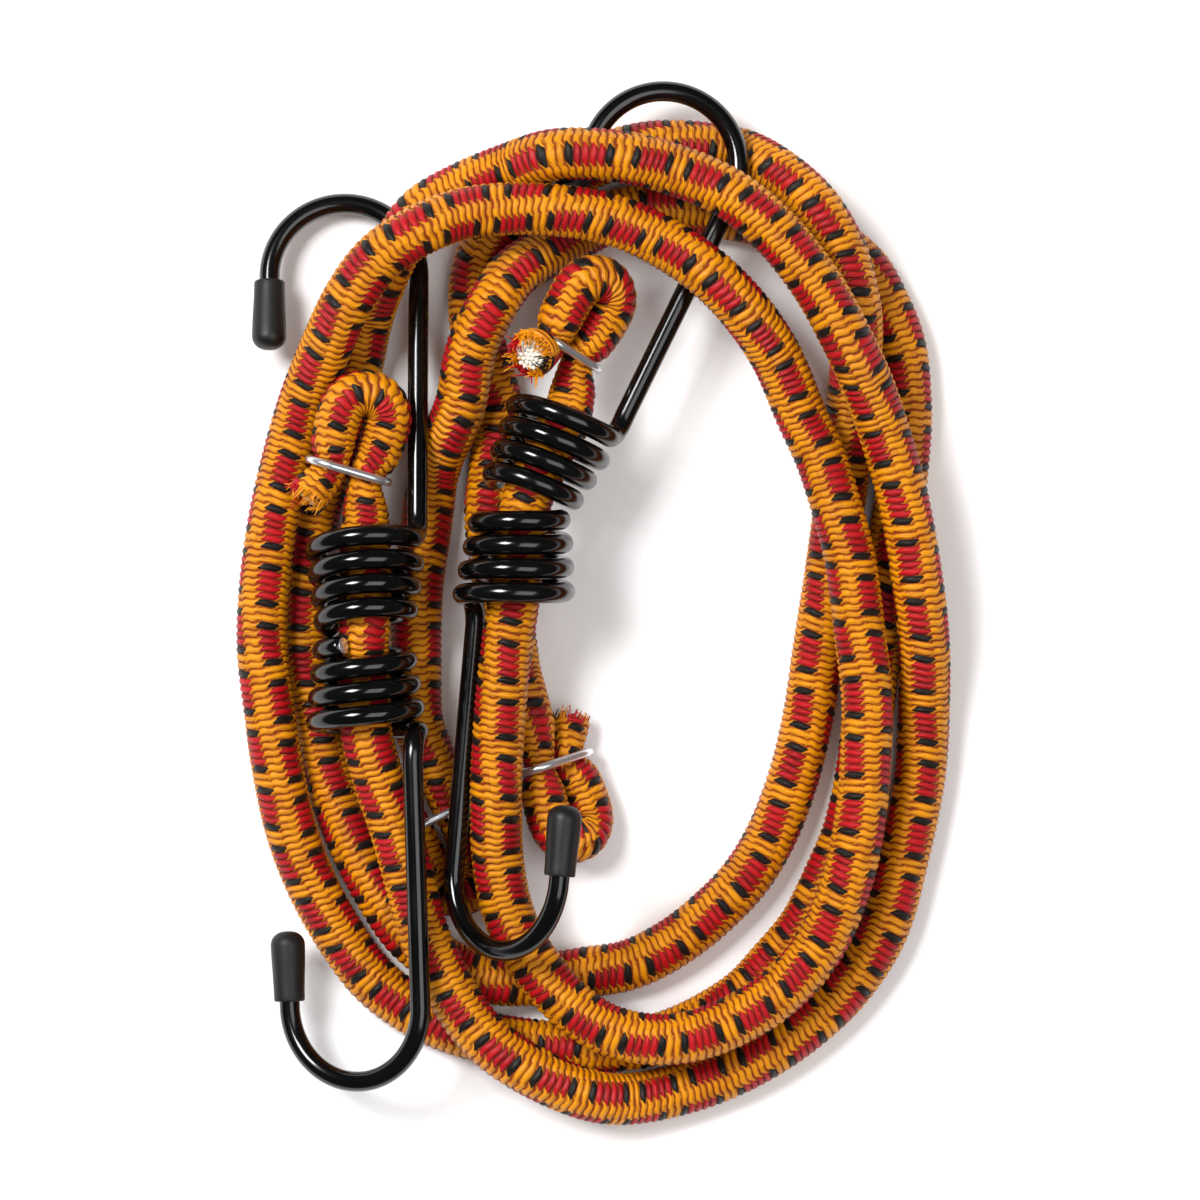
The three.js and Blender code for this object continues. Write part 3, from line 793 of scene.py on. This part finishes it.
@dataclass
class BraidedCord:
    """An elastic cord: braided sheath, rubber core and frayed cut ends."""

    number: int
    route: tuple[Triple, ...]
    start: Fold
    end: Fold
    weave: Weave
    braid: BraidFinish
    rubber: Finish
    first_column: float
    first_stitch: int = 10
    sway: tuple[Stray, ...] = (Stray(0.10, 7.3 * MM), Stray(0.07, 2.9 * MM, 1))
    slip: tuple[Stray, ...] = (Stray(0.22, 11 * MM, 1), Stray(0.12, 3.7 * MM, -2))
    radius: float = 4.0 * MM
    sides: int = 32
    steps_per_stitch: int = 4
    steps_per_point: int = 24
    path_step: float = 4 * MM
    mouth_ratio: float = 0.78
    lip_depth: float = 2.5 * MM
    bore_ratio: float = 0.7
    core_clearance: float = 0.3 * MM
    core_inset: int = 10
    core_step: float = 2 * MM
    core_sides: int = 16
    thread_radius: float = 0.34 * MM
    thread_spacing: float = 2.08
    thread_rings: int = 4
    threads_per_ring: int = 6
    thread_depth: float = 2.4 * MM
    thread_proud: float = 0.7 * MM
    thread_uneven: float = 0.25
    thread_waves: tuple[int, int] = (5, 3)
    thread_edge: float = 0.1 * MM
    thread_tip_ratio: float = 0.8
    thread_sides: int = 10
    fray: Fray = Fray()

    def centreline(self) -> Path:
        """The whole cord from cut end to cut end.

        Returns:
            The line in steps of a part of a stitch.
        """
        first, last = self.start.path(), self.end.path()
        route = np.array(self.route) * MM
        radii = np.full(len(route), self.radius)
        radii[[0, -1]] = self.start.radius * MM, self.end.radius * MM
        points = np.concatenate([first.points[::-1], route, last.points])
        whole = Path(points, np.concatenate([first.radii[::-1], radii, last.radii]))
        return whole.smooth(self.steps_per_point).even(self.weave.pitch / self.steps_per_stitch)

    def build(self) -> None:
        """Builds all pieces of the cord."""
        line = self.centreline()
        sheath = self.build_sheath(line)
        core = self.build_core(line)
        fray = self.build_fray(line)
        for piece, slot in ((sheath, "braid"), (core, "rubber_core"), (fray, "braid")):
            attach(piece, "cords")
        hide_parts(f"cord_{self.number}_sheath")
        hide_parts(f"cord_{self.number}_core")
        coarse = line.even(self.path_step)

    def places(self, line: Path, angles: np.ndarray) -> np.ndarray:
        """Map coordinates of rings along the line.

        Args:
            line: Centreline of the cord.
            angles: Angles of the points of each ring.

        Returns:
            Column and stitch of each point, shape (points, angles, 2).
        """
        arc = line.arc[:, None]
        share = angles / TURN + arc / self.weave.turn_length
        sway = sum(stray.at(arc, angles) for stray in self.sway)
        slip = sum(stray.at(arc, angles) for stray in self.slip)
        column = self.first_column + share * self.weave.columns + sway
        return np.stack([column, self.first_stitch + arc / self.weave.pitch + slip], axis=-1)

    def build_sheath(self, line: Path) -> bpy.types.Object:
        """The braided sleeve with relief, its underside pressed flat on the table.

        Args:
            line: Centreline of the cord.

        Returns:
            The sleeve.
        """
        angles = (np.arange(self.sides + 1) + 0.5) / self.sides * TURN
        places = self.places(line, angles)
        spokes = line.level_spokes(angles)
        sunk = 1 - self.weave.height(places[..., 0], places[..., 1])
        reach = line.radii[:, None] * (1 - sunk * self.weave.relief / self.radius)
        rings = line.points[:, None, :] + reach[..., None] * spokes
        rings[..., 2] = np.maximum(rings[..., 2], 0.0)
        lips = []
        for end, inward in ((0, 1), (-1, -1)):
            mouth = line.points[end] + line.radii[end] * self.mouth_ratio * spokes[end]
            inside = mouth + inward * self.lip_depth * line.tangents[end]
            lips.append([inside, mouth][::inward])
        rings = np.concatenate([lips[0], rings, lips[1]])
        places = np.concatenate([places[:1]] * 2 + [places] + [places[-1:]] * 2)
        corners = [places[:-1, :-1], places[:-1, 1:], places[1:, 1:], places[1:, :-1]]
        draft = MeshDraft()
        draft.add_rings(rings[:, :-1], False, False)
        draft.map_points.append(np.stack(corners, axis=2).reshape(-1, 2))
        return draft.build(f"cord_{self.number}_braid", self.braid.material())

    def build_core(self, line: Path) -> bpy.types.Object:
        """The rubber core, with its threads standing out of both cut ends.

        Args:
            line: Centreline of the cord.

        Returns:
            The core with its threads.
        """
        inner = slice(self.core_inset, -self.core_inset)
        radii = line.radii[inner] * self.bore_ratio - self.core_clearance
        core = Path(line.points[inner], radii).even(self.core_step)
        spokes = core.level_spokes(round_angles(self.core_sides))
        draft = MeshDraft()
        draft.add_rings(core.points[:, None, :] + core.radii[:, None, None] * spokes, True, True)
        left, above = line.level_frames()
        shape = self.thread_radius * np.array([1.0, 1.0, self.thread_tip_ratio])
        wave, ring_wave = self.thread_waves
        for end, turn in ((0, -1), (-1, 1)):
            outward = turn * line.tangents[end]
            for ring in range(self.thread_rings):
                spread = self.thread_spacing * self.thread_radius * ring
                for k, angle in enumerate(round_angles(max(1, self.threads_per_ring * ring))):
                    spoke = math.cos(angle) * left[end] + math.sin(angle) * above[end]
                    uneven = math.sin(wave * k + ring_wave * ring + self.number) - 1
                    proud = self.thread_proud * (1 + self.thread_uneven * uneven)
                    reach = np.array([-self.thread_depth, proud - self.thread_edge, proud])
                    points = line.points[end] + spread * spoke + reach[:, None] * outward
                    draft.add_rings(Path(points, shape).carried_rings(self.thread_sides), False, True)
        return draft.build(f"cord_{self.number}_rubber", self.rubber.material())

    def build_fray(self, line: Path) -> bpy.types.Object:
        """Loose yarn ends round both cut ends.

        Args:
            line: Centreline of the cord.

        Returns:
            The yarn ends as one piece.
        """
        fray = self.fray
        rng = np.random.default_rng(self.number)
        draft = MeshDraft()
        left, above = line.level_frames()
        share = np.linspace(0, 1, fray.points)[:, None]
        for end, turn in ((0, -1), (-1, 1)):
            outward = turn * line.tangents[end]
            stitch = self.first_stitch + 0.5 + line.arc[end] / self.weave.pitch
            for k in range(fray.count):
                angle = (k + rng.uniform(-fray.angle_jitter, fray.angle_jitter)) / fray.count * TURN
                spoke = math.sin(angle) * left[end] - math.cos(angle) * above[end]
                root = line.points[end] + line.radii[end] * rng.uniform(*fray.root_ratio) * spoke
                length = fray.length * rng.uniform(*fray.length_ratio)
                bend = rng.normal(0, fray.bend, 3) + rng.uniform(*fray.lean) * spoke
                points = root - fray.root_depth * outward + length * (share * outward + share**2 * bend)
                points[:, 2] = np.maximum(points[:, 2], fray.lowest)
                strand = Path(points, np.linspace(*fray.radii, fray.points))
                draft.add_rings(strand.carried_rings(fray.sides), False, True)
                column = self.first_column + angle / TURN * self.weave.columns
                draft.map_points.append(np.tile([column, stitch], (fray.corners, 1)))
        return draft.build(f"cord_{self.number}_fray", self.braid.material())


# Hardware


@dataclass
class HogRing:
    """Open steel ring that closes round both legs of a folded end. Millimetres."""

    number: int
    fold: Fold
    steel: Finish
    wire_diameter: float = 1.3
    clearance: float = 0.4
    opening: float = 1.6
    end_ratio: float = 0.45
    end_length: float = 1.4
    bend_points: int = 25
    step: float = 0.35
    sides: int = 20

    def centreline(self) -> Path:
        """Centreline of the ring's wire, with the gap below the cord.

        Returns:
            The line in metres, its radius smaller towards both ends.
        """
        along, side = self.fold.axes
        normal = np.cross(side, along)
        normal = -normal if normal[2] > 0 else normal
        radius = self.fold.pinch_radius + self.clearance + self.wire_diameter / 2
        angles = np.linspace(0, math.pi, self.bend_points)
        out = self.fold.pinch_offset + radius * np.sin(angles)
        fall = radius * np.cos(angles)
        across = [self.opening / 2, *out, *(-out), -self.opening / 2]
        down = [radius, *fall, *(-fall), radius]
        points = np.array(self.fold.ring) + np.outer(across, side) + np.outer(down, normal)
        wire = Path(points * MM, np.full(len(points), self.wire_diameter / 2 * MM)).even(self.step * MM)
        from_end = np.minimum(wire.arc, wire.arc[-1] - wire.arc)
        taper = np.clip(self.end_ratio + from_end / (self.end_length * MM), self.end_ratio, 1.0)
        return Path(wire.points, wire.radii * taper)

    def build(self) -> None:
        draft = MeshDraft()
        draft.add_rings(self.centreline().carried_rings(self.sides), True, True)
        ring = draft.build(f"hog_ring_{self.number}", self.steel.material())
        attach(ring, "cords")
        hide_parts(f"ring_{self.number}")


@dataclass
class WireHook:
    """Wire hook with a conical coil, a shank, a half-round bend, a short leg and a moulded cap.

    Sizes are in millimetres and angles in degrees.
    """

    number: int
    at: Triple
    coat: Finish
    vinyl: Finish
    steel: Finish
    heading: float
    tilt: float = 0.0
    roll: float = 0.0
    extra_turn: float = 0.0
    wire_diameter: float = 3.1
    wire_sides: int = 28
    end_ratio: float = 0.86
    coil_radius_wide: float = 7.8
    coil_radius_narrow: float = 6.2
    coil_turns: float = 3.6
    coil_pitch: float = 3.6
    steps_per_turn: int = 48
    elbow_turn: float = 0.07
    elbow_bulge: float = 0.25
    elbow_length: float = 4.2
    elbow_points: int = 14
    shank_length: float = 41.0
    shank_points: int = 30
    bend_radius: float = 11.3
    bend_points: int = 49
    leg_length: float = 9.6
    leg_points: int = 10
    cut_reach: Triple = (-0.1, 0.06, 0.1)
    cut_ratios: Triple = (0.8, 0.8, 0.7)
    cut_sides: int = 24
    cap_diameter: float = 5.2
    cap_length: float = 10.6
    cap_wall_end: float = 1.6
    cap_clearance: float = 0.3
    cap_bore_depth: float = 3.0
    cap_inner_lip: tuple[Span, ...] = ((0.0, 0.25), (0.12, 0.05), (0.3, 0.0))
    cap_outer_lip: tuple[Span, ...] = ((0.85, 0.0), (0.885, 0.12), (0.9, 0.35))
    cap_dome_ratio: float = 0.8
    cap_wall_points: int = 12
    cap_dome_points: int = 14
    cap_sides: int = 40

    @property
    def place(self) -> Matrix:
        """Place of the hook's own frame in the scene."""
        turn = Matrix.Identity(4)
        for angle, axis in ((self.heading, "Z"), (self.tilt, "X"), (self.roll, "Y")):
            turn = turn @ Matrix.Rotation(math.radians(angle), 4, axis)
        return Matrix.Translation(Vector(self.at)) @ turn

    def placed(self, points: np.ndarray) -> np.ndarray:
        """Points of the hook's own frame in scene metres."""
        place = np.array(self.place)
        return (points @ place[:3, :3].T + place[:3, 3]) * MM

    def centreline(self) -> np.ndarray:
        """Centreline of the wire in the hook's own frame.

        Returns:
            Points from the cut end of the coil to the end of the leg.
        """
        turns = self.coil_turns + self.extra_turn
        share = np.linspace(1, self.elbow_turn / turns, round(turns * self.steps_per_turn))
        angle = share * turns * TURN
        radius = self.coil_radius_wide + (self.coil_radius_narrow - self.coil_radius_wide) * share
        rise = -self.coil_pitch * turns * share
        coil = np.stack([radius * np.cos(angle), rise, radius * np.sin(angle)], axis=1)
        t = np.linspace(0, 1, self.elbow_points)[1:, None]
        knee = np.array([self.coil_radius_wide + self.elbow_bulge, 0.0, 0.0])
        foot = np.array([self.coil_radius_wide, self.elbow_length, 0.0])
        elbow = (1 - t) ** 2 * coil[-1] + 2 * t * (1 - t) * knee + t**2 * foot
        top = np.array([self.coil_radius_wide, self.shank_length, 0.0])
        shank = np.linspace(foot, top, self.shank_points)[1:]
        angle = np.linspace(0, math.pi, self.bend_points)[1:]
        middle = top - [self.bend_radius, 0.0, 0.0]
        bend = middle + self.bend_radius * np.stack([np.cos(angle), np.sin(angle), 0 * angle], axis=1)
        leg = np.linspace(bend[-1], bend[-1] - [0.0, self.leg_length, 0.0], self.leg_points)[1:]
        return np.concatenate([coil, elbow, shank, bend, leg])

    def build(self) -> None:
        points = self.placed(self.centreline())
        radii = np.full(len(points), self.wire_diameter / 2 * MM)
        radii[[0, -1]] *= self.end_ratio
        draft = MeshDraft()
        draft.add_rings(Path(points, radii).carried_rings(self.wire_sides), True, True)
        wire = draft.build(f"hook_wire_{self.number}", self.coat.material())
        cap = self.build_cap()
        cut = self.build_cut_face(points)
        for piece, slot in ((wire, "coated_wire"), (cap, "cap_vinyl"), (cut, "ring_steel")):
            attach(piece, f"hook_body_{self.number}")
        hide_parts(f"hook_{self.number}")
        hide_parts(f"tip_cap_{self.number}")

    def build_cut_face(self, points: np.ndarray) -> bpy.types.Object:
        """The bare steel face where the wire is cut off at the end of the coil.

        Args:
            points: Centreline of the wire in scene metres.

        Returns:
            The face, a little proud of the coat.
        """
        outward = unit(points[0] - points[1])
        reach = np.array(self.cut_reach) * MM
        radii = self.wire_diameter / 2 * np.array(self.cut_ratios) * MM
        face = Path(points[0] + reach[:, None] * outward, radii)
        draft = MeshDraft()
        draft.add_rings(face.carried_rings(self.cut_sides), False, True)
        return draft.build(f"hook_cut_{self.number}", self.steel.material())

    def build_cap(self) -> bpy.types.Object:
        """The moulded cap as a turned shape with a soft lip and a round end.

        Returns:
            The cap over the end of the leg.
        """
        outer = self.cap_diameter / 2
        dome = outer * self.cap_dome_ratio
        bore = self.wire_diameter / 2 + self.cap_clearance
        profile = [(bore, self.cap_bore_depth)]
        profile += [(bore + wider, depth) for wider, depth in self.cap_inner_lip]
        profile += [(outer * ratio, depth) for ratio, depth in self.cap_outer_lip]
        neck, lip = profile[-1]
        wall = self.cap_length - dome - lip
        for share in np.linspace(0, 1, self.cap_wall_points)[1:]:
            profile.append((neck + (outer - neck) * smooth_step(share), lip + wall * share))
        for angle in np.linspace(0, math.pi / 2, self.cap_dome_points)[1:-1]:
            sunk = dome * (1 - math.sin(angle))
            profile.append((outer * math.cos(angle) ** self.cap_dome_ratio, self.cap_length - sunk))
        radius, depth = np.array(profile).T[..., None]
        turn = round_angles(self.cap_sides)
        mouth = self.shank_length - self.leg_length + self.cap_length - self.cap_wall_end - self.cap_clearance
        x = self.coil_radius_wide - 2 * self.bend_radius + radius * np.sin(turn)
        y = np.broadcast_to(mouth - depth, x.shape)
        draft = MeshDraft()
        draft.add_rings(self.placed(np.stack([x, y, radius * np.cos(turn)], axis=-1)), False, True)
        return draft.build(f"hook_cap_{self.number}", self.vinyl.material())


# Studio


@dataclass(frozen=True)
class Lamp:
    """A square soft lamp aimed at the middle of the coil."""

    name: str
    at: Triple
    size: float
    power: float

    def build(self) -> None:
        """Makes the lamp."""
        data = bpy.data.lights.new(self.name, "AREA")
        data.size = self.size
        data.energy = self.power
        lamp = bpy.data.objects.new(self.name, data)
        lamp.location = self.at
        lamp.rotation_euler = (-Vector(self.at)).to_track_quat("-Z", "Y").to_euler()
        bpy.context.scene.collection.objects.link(lamp)


@dataclass
class Studio:
    """Camera straight above the coil, pale floor and soft light."""

    centre: Span = (0.86 * MM, 0.66 * MM)
    width: float = 181.2 * MM
    object_height: float = 12 * MM
    distance: float = 1.2
    clip_end: float = 20.0
    floor_half: float = 3.0
    floor_drop: float = 0.02 * MM
    around: float = 0.42
    around_glossy: float = 0.06
    backdrop: float = 1.0
    lamps: tuple[Lamp, ...] = (
        Lamp("key", (-0.58, 0.4, 1.1), size=0.45, power=19.0),
        Lamp("fill", (0.5, -0.1, 1.25), size=0.9, power=7.0),
    )

    def camera(self) -> None:
        """Makes the long-lens camera, with +Y up in the image."""
        data = bpy.data.cameras.new("camera")
        data.lens = data.sensor_width * (self.distance - self.object_height) / self.width
        data.clip_end = self.clip_end
        camera = bpy.data.objects.new("camera", data)
        camera.location = (*self.centre, self.distance)
        bpy.context.scene.collection.objects.link(camera)
        bpy.context.scene.camera = camera

    def floor(self) -> None:
        """Makes the pale floor that catches the shadows."""
        paper = Finish("floor_paper", grey(0.9), grey(0.93), (0.8, 0.9), bump=0.0, grain_scale=60.0)
        half = self.floor_half
        corners = [(-half, -half, 0), (half, -half, 0), (half, half, 0), (-half, half, 0)]
        mesh = bpy.data.meshes.new("floor")
        mesh.from_pydata(corners, [], [(0, 1, 2, 3)])
        mesh.materials.append(paper.material())
        floor = bpy.data.objects.new("floor", mesh)
        floor.location.z = -self.floor_drop
        bpy.context.scene.collection.objects.link(floor)

    def lights(self) -> None:
        """Makes the even surroundings and the soft lamps."""
        world = bpy.data.worlds.new("surroundings")
        world.use_nodes = True
        sheet = NodeSheet(world.node_tree)
        ray = sheet.add("ShaderNodeLightPath").outputs
        around = sheet.mix(ray["Is Glossy Ray"], grey(self.around), grey(self.around_glossy))
        seen = sheet.mix(ray["Is Camera Ray"], around, grey(self.backdrop))
        sheet.fill(world.node_tree.nodes["Background"], {"Color": seen})
        bpy.context.scene.world = world
        for lamp in self.lamps:
            lamp.build()


def main() -> None:
    """Builds the camera, the cords, the rings, the hooks and the studio."""
    bpy.context.scene.view_settings.view_transform = "Standard"
    studio = Studio()
    studio.camera()
    weave = Weave()
    braid = BraidFinish(
        "braid_yarn",
        weave,
        # Each pair: painted shade colour for the grooves, then painted highlight colour for the crowns.
        yellow=(srgb(128, 46, 0), srgb(220, 140, 2)),
        red=(srgb(82, 0, 4), srgb(178, 13, 20)),
        black=(srgb(8, 7, 6), srgb(24, 20, 15)),
    )
    rubber = Finish(
        "natural_rubber", srgb(236, 230, 218), srgb(222, 214, 198), roughness=(0.5, 0.65), grain_scale=1500.0
    )
    steel = Finish(
        "drawn_steel", srgb(228, 229, 231), srgb(206, 208, 212), roughness=(0.2, 0.32), metallic=0.85,
        grain_scale=2500.0,
    )
    coat = Finish(
        "gloss_coat", srgb(4, 4, 4), srgb(8, 7, 7), roughness=(0.12, 0.2), coat=0.25, specular=0.4, bump=0.03
    )
    vinyl = Finish(
        "satin_vinyl", srgb(13, 13, 13), srgb(20, 20, 20), roughness=(0.42, 0.55), specular=0.4,
        grain_scale=1800.0, bump=0.12,
    )
    folds = (
        Fold(ring=(-37, 20.1, 14.4), along=(0.28, 0.95, 0), side=(1, 0, -0.28)),
        Fold(
            ring=(-4.4, 38.3, 14), along=(0.49, 0.87, -0.05), side=(0.67, -0.47, -0.57),
            tail_radius=3.8, tail_length=3.3, tail_lift=3.4,
        ),
        Fold(ring=(-6.2, -24.1, 6.2), along=(0.3, -0.95, 0), side=(-0.76, -0.24, 0.6)),
        Fold(ring=(-24.5, -32.7, 4.1), along=(0.42, -0.91, 0), side=(0.93, 0.36, 0)),
    )
    BraidedCord(1, CORD_1_ROUTE, folds[0], folds[2], weave, braid, rubber, first_column=8.0).build()
    BraidedCord(2, CORD_2_ROUTE, folds[1], folds[3], weave, braid, rubber, first_column=9.2).build()
    for number, fold in enumerate(folds, start=1):
        HogRing(number, fold, steel).build()
    hooks = (
        WireHook(1, (-34.5, 9.7, 13.6), coat, vinyl, steel, heading=0, tilt=-11.5),
        WireHook(2, (-4.2, 28.2, 15.6), coat, vinyl, steel, heading=-26, tilt=-6.2),
        WireHook(3, (-34.3, -19.6, 15.2), coat, vinyl, steel, heading=181.8, roll=207.6, extra_turn=0.15),
        WireHook(4, (-12.1, 0.4, 17.5), coat, vinyl, steel, heading=175, roll=45),
    )
    for hook in hooks:
        hook.build()
    studio.floor()
    studio.lights()


if __name__ == "__main__":
    main()
